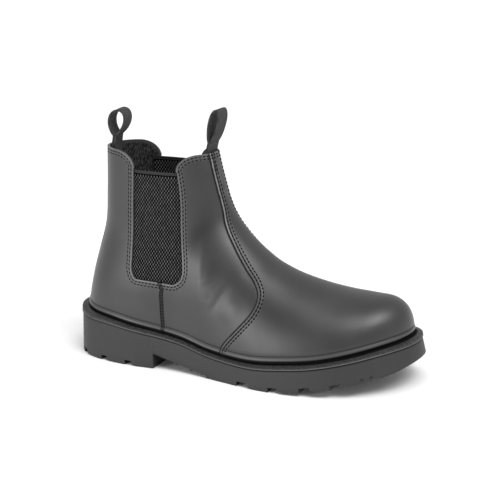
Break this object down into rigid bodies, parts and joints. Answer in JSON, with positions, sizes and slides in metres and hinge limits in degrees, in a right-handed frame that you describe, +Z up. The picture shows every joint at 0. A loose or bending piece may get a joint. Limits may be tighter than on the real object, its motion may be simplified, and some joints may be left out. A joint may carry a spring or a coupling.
{
  "type": "side gore work boot",
  "caption": "Black leather ankle work boot for the right foot, with elastic side gores, webbing pull loops and a lugged rubber sole.",
  "frame": {"origin": "centre of the boot's bounding box, on the floor that it stands on", "axes": "+X from heel to toe, +Y to the inner side of the foot, +Z up"},
  "size_m": [0.305, 0.113, 0.2145],
  "materials": {
    "leather": "smooth black full grain, satin",
    "elastic": "ribbed elastic weave, matt",
    "rubber": "moulded, matt to satin",
    "webbing": "woven tape, matt",
    "lining": "knitted lining, matt"
  },
  "bodies": {
    "root": {"outsole": "rubber", "midsole": "rubber", "insole": "lining", "upper": "leather", "gore_outer": "elastic", "gore_inner": "elastic", "pull_loop_back": "webbing", "pull_loop_front": "webbing"}
  },
  "joints": []
}
